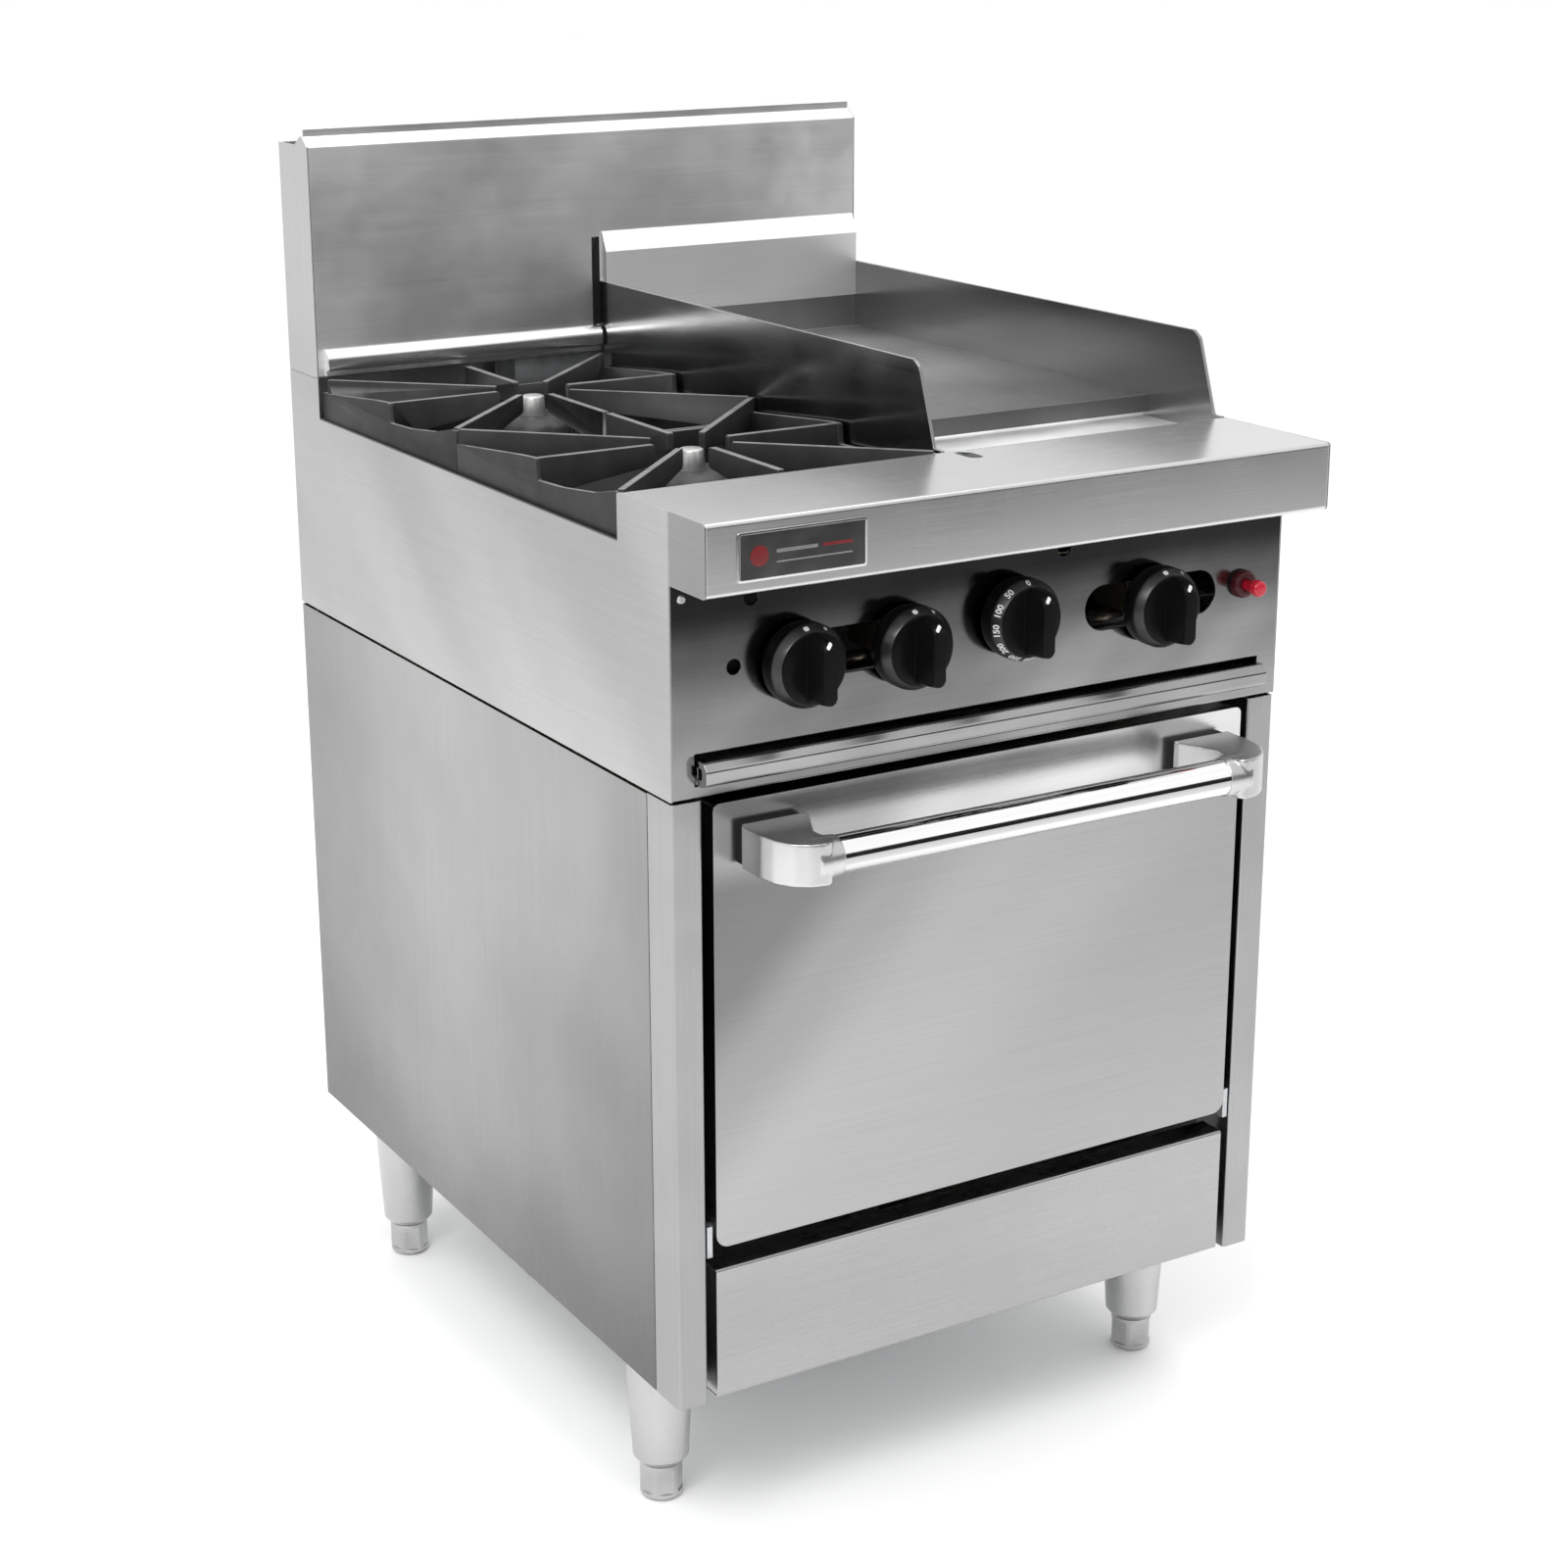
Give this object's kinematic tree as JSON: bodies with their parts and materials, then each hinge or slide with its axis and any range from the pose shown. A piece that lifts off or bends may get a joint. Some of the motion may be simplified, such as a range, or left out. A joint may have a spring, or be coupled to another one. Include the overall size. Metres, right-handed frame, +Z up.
{
  "type": "commercial gas range",
  "caption": "Freestanding commercial gas range with open burners beside a griddle, splashback, drop-down oven door, crumb tray and adjustable legs.",
  "frame": {"origin": "on the floor, at the centre of the box round the whole range", "axes": "+X to the right seen from the front, +Y to the back, +Z up"},
  "size_m": [0.61, 0.875, 1.1555],
  "materials": {
    "stainless": "brushed stainless sheet, vertical and horizontal grain",
    "polished_steel": "bright polished sheet",
    "bright_tube": "polished stainless tube",
    "satin_cast": "satin cast stainless",
    "galvanised": "dull galvanised sheet",
    "cast_iron": "raw cast iron",
    "grate_iron": "matt charcoal cast iron",
    "burner_alloy": "dull cast alloy",
    "griddle_steel": "ground steel plate",
    "brass": "machined brass",
    "black_pipe": "black painted pipe",
    "aluminium_tube": "plain drawn tube",
    "black_plastic": "black phenolic moulding",
    "red_plastic": "bright red button",
    "dark_red_plastic": "dark red collar",
    "enamel": "dark porcelain enamel",
    "mineral_wool": "mineral wool blanket",
    "gasket_fibre": "woven fibre seal",
    "chrome_wire": "bright plated wire",
    "badge_metal": "dark anodised plate with bright rim",
    "leg_steel": "satin stainless",
    "foot_steel": "dull turned steel",
    "screw_steel": "plain screw heads"
  },
  "bodies": {
    "cabinet": {"back_panel": "galvanised", "base_panel": "galvanised", "burner_bodies": "cast_iron", "burner_heads": "burner_alloy", "control_panel": "stainless", "door_posts": "stainless", "front_rail": "stainless", "gas_manifold": "black_pipe", "gas_tubes": "aluminium_tube", "grease_chute": "galvanised", "grease_trough": "stainless", "griddle_back_guard": "polished_steel", "griddle_burner": "cast_iron", "griddle_plate": "griddle_steel", "griddle_side_guards": "stainless", "hinge_brackets": "galvanised", "hob_side_panels": "stainless", "hob_well": "enamel", "igniter_body": "dark_red_plastic", "kick_panel": "stainless", "legs": "leg_steel", "nameplate": "badge_metal", "oven_burner": "cast_iron", "oven_flue_duct": "galvanised", "oven_insulation": "mineral_wool", "oven_liner": "enamel", "oven_racks": "chrome_wire", "oven_sole_plate": "enamel", "oven_thermostat": "brass", "panel_screws": "screw_steel", "rack_supports": "chrome_wire", "side_panels_lower": "stainless", "splash_base_strip": "stainless", "splashback_face": "stainless", "splashback_shell": "stainless", "tap_bodies": "brass"},
    "oven_door": {"door_skin": "stainless", "door_liner": "enamel", "door_insulation": "mineral_wool", "door_gasket": "gasket_fibre", "handle_bar": "bright_tube", "handle_brackets": "satin_cast", "hinge_arms": "galvanised"},
    "tray": {"crumb_tray": "stainless", "grease_box": "stainless"},
    "rear_grate": {"grate_rear": "grate_iron"},
    "front_grate": {"grate_front": "grate_iron"},
    "tap_1": {"tap_stem_1": "brass"},
    "knob_1": {"knob_1": "black_plastic"},
    "tap_2": {"tap_stem_2": "brass"},
    "knob_2": {"knob_2": "black_plastic"},
    "tap_3": {"tap_stem_3": "brass"},
    "knob_3": {"knob_3": "black_plastic"},
    "tap_4": {"tap_stem_4": "brass"},
    "knob_4": {"knob_4": "black_plastic"},
    "igniter_button": {"igniter_button": "red_plastic"},
    "foot_front_left": {"foot_front_left": "foot_steel"},
    "foot_front_right": {"foot_front_right": "foot_steel"},
    "foot_rear_left": {"foot_rear_left": "foot_steel"},
    "foot_rear_right": {"foot_rear_right": "foot_steel"}
  },
  "joints": [
    {"name": "door_hinge", "type": "hinge", "parent": "cabinet", "child": "oven_door", "pos_m": [0, -0.3385, 0.303], "axis": [1, 0, 0], "range_deg": [0, 90], "stiffness_Nm_per_rad": 5, "springref_deg": -45.84},
    {"name": "tray_slide", "type": "slide", "parent": "cabinet", "child": "tray", "axis": [0, -1, 0], "range_m": [0, 0.5]},
    {"name": "rear_grate_lift", "type": "slide", "parent": "cabinet", "child": "rear_grate", "axis": [0, 0, 1], "range_m": [0, 0.15]},
    {"name": "front_grate_lift", "type": "slide", "parent": "cabinet", "child": "front_grate", "axis": [0, 0, 1], "range_m": [0, 0.15]},
    {"name": "tap_1_turn", "type": "hinge", "parent": "cabinet", "child": "tap_1", "pos_m": [-0.191, -0.3465, 0.7865], "axis": [0, -1, 0], "range_deg": [0, 180]},
    {"name": "knob_1_push", "type": "slide", "parent": "tap_1", "child": "knob_1", "axis": [0, 1, 0], "range_m": [0, 0.003], "stiffness_N_per_m": 900, "springref_m": -0.004},
    {"name": "tap_2_turn", "type": "hinge", "parent": "cabinet", "child": "tap_2", "pos_m": [-0.089, -0.3465, 0.7865], "axis": [0, -1, 0], "range_deg": [0, 180]},
    {"name": "knob_2_push", "type": "slide", "parent": "tap_2", "child": "knob_2", "axis": [0, 1, 0], "range_m": [0, 0.003], "stiffness_N_per_m": 900, "springref_m": -0.004},
    {"name": "tap_3_turn", "type": "hinge", "parent": "cabinet", "child": "tap_3", "pos_m": [0.018, -0.3465, 0.7955], "axis": [0, -1, 0], "range_deg": [0, 280]},
    {"name": "knob_3_push", "type": "slide", "parent": "tap_3", "child": "knob_3", "axis": [0, 1, 0], "range_m": [0, 0.003], "stiffness_N_per_m": 900, "springref_m": -0.004},
    {"name": "tap_4_turn", "type": "hinge", "parent": "cabinet", "child": "tap_4", "pos_m": [0.164, -0.3465, 0.7865], "axis": [0, -1, 0], "range_deg": [0, 180]},
    {"name": "knob_4_push", "type": "slide", "parent": "tap_4", "child": "knob_4", "axis": [0, 1, 0], "range_m": [0, 0.003], "stiffness_N_per_m": 900, "springref_m": -0.004},
    {"name": "igniter_push", "type": "slide", "parent": "cabinet", "child": "igniter_button", "axis": [0, 1, 0], "range_m": [0, 0.006], "stiffness_N_per_m": 600, "springref_m": -0.005},
    {"name": "foot_front_left_level", "type": "slide", "parent": "cabinet", "child": "foot_front_left", "axis": [0, 0, -1], "range_m": [0, 0.025]},
    {"name": "foot_front_right_level", "type": "slide", "parent": "cabinet", "child": "foot_front_right", "axis": [0, 0, -1], "range_m": [0, 0.025]},
    {"name": "foot_rear_left_level", "type": "slide", "parent": "cabinet", "child": "foot_rear_left", "axis": [0, 0, -1], "range_m": [0, 0.025]},
    {"name": "foot_rear_right_level", "type": "slide", "parent": "cabinet", "child": "foot_rear_right", "axis": [0, 0, -1], "range_m": [0, 0.025]}
  ]
}
